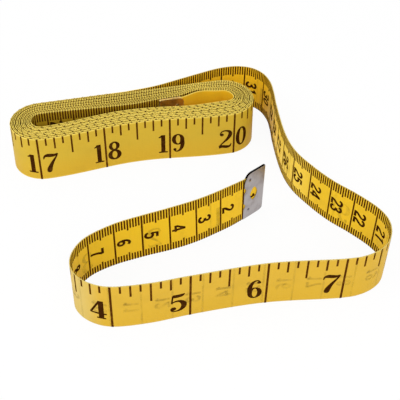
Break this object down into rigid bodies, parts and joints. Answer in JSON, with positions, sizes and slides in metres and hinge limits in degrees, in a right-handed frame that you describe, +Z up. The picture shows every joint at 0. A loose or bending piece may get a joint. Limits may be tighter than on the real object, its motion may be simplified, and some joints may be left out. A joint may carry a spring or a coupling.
{
  "type": "cloth tape measure",
  "caption": "Dressmaker's cloth tape measure wound into a flat hank, its free end laid in two open folds, with a steel ferrule on each end.",
  "frame": {"origin": "middle of the layout, on the surface that the tape stands on", "axes": "+X along the hank to the right, +Y away from the viewer, +Z up across the tape's width"},
  "size_m": [0.1363, 0.1227, 0.0208],
  "materials": {
    "coated_cloth": "smooth vinyl-coated cloth with dark brown print",
    "ferrule_steel": "dull plated steel, folded and crimped"
  },
  "bodies": {
    "hank": {"wound_hank": "coated_cloth", "inner_ferrule": "ferrule_steel"},
    "back_stretch": {"back_bend": "coated_cloth", "right_run": "coated_cloth"},
    "right_fold": {"right_fold": "coated_cloth"},
    "front_stretch": {"front_run": "coated_cloth"},
    "left_fold": {"left_fold": "coated_cloth"},
    "tip_stretch": {"tip_run": "coated_cloth", "tip_ferrule": "ferrule_steel"}
  },
  "joints": [
    {"name": "hank_exit", "type": "hinge", "parent": "hank", "child": "back_stretch", "pos_m": [-0.0263, 0.04145, 0.0095], "axis": [0, 0, 1], "range_deg": [-4, 12]},
    {"name": "right_fold_near", "type": "hinge", "parent": "back_stretch", "child": "right_fold", "pos_m": [0.0652, -0.0241, 0.0095], "axis": [0, 0, 1], "range_deg": [-4, 40]},
    {"name": "right_fold_far", "type": "hinge", "parent": "right_fold", "child": "front_stretch", "pos_m": [0.0574, -0.0459, 0.0095], "axis": [0, 0, 1], "range_deg": [-4, 40]},
    {"name": "left_fold_near", "type": "hinge", "parent": "front_stretch", "child": "left_fold", "pos_m": [-0.0279, -0.0603, 0.0095], "axis": [0, 0, 1], "range_deg": [-10, 7]},
    {"name": "left_fold_far", "type": "hinge", "parent": "left_fold", "child": "tip_stretch", "pos_m": [-0.032, -0.0399, 0.0095], "axis": [0, 0, 1], "range_deg": [-10, 7]}
  ],
  "couplings": [
    {"joint": "right_fold_far", "follows": "right_fold_near", "ratio": 1},
    {"joint": "left_fold_far", "follows": "left_fold_near", "ratio": 1}
  ]
}
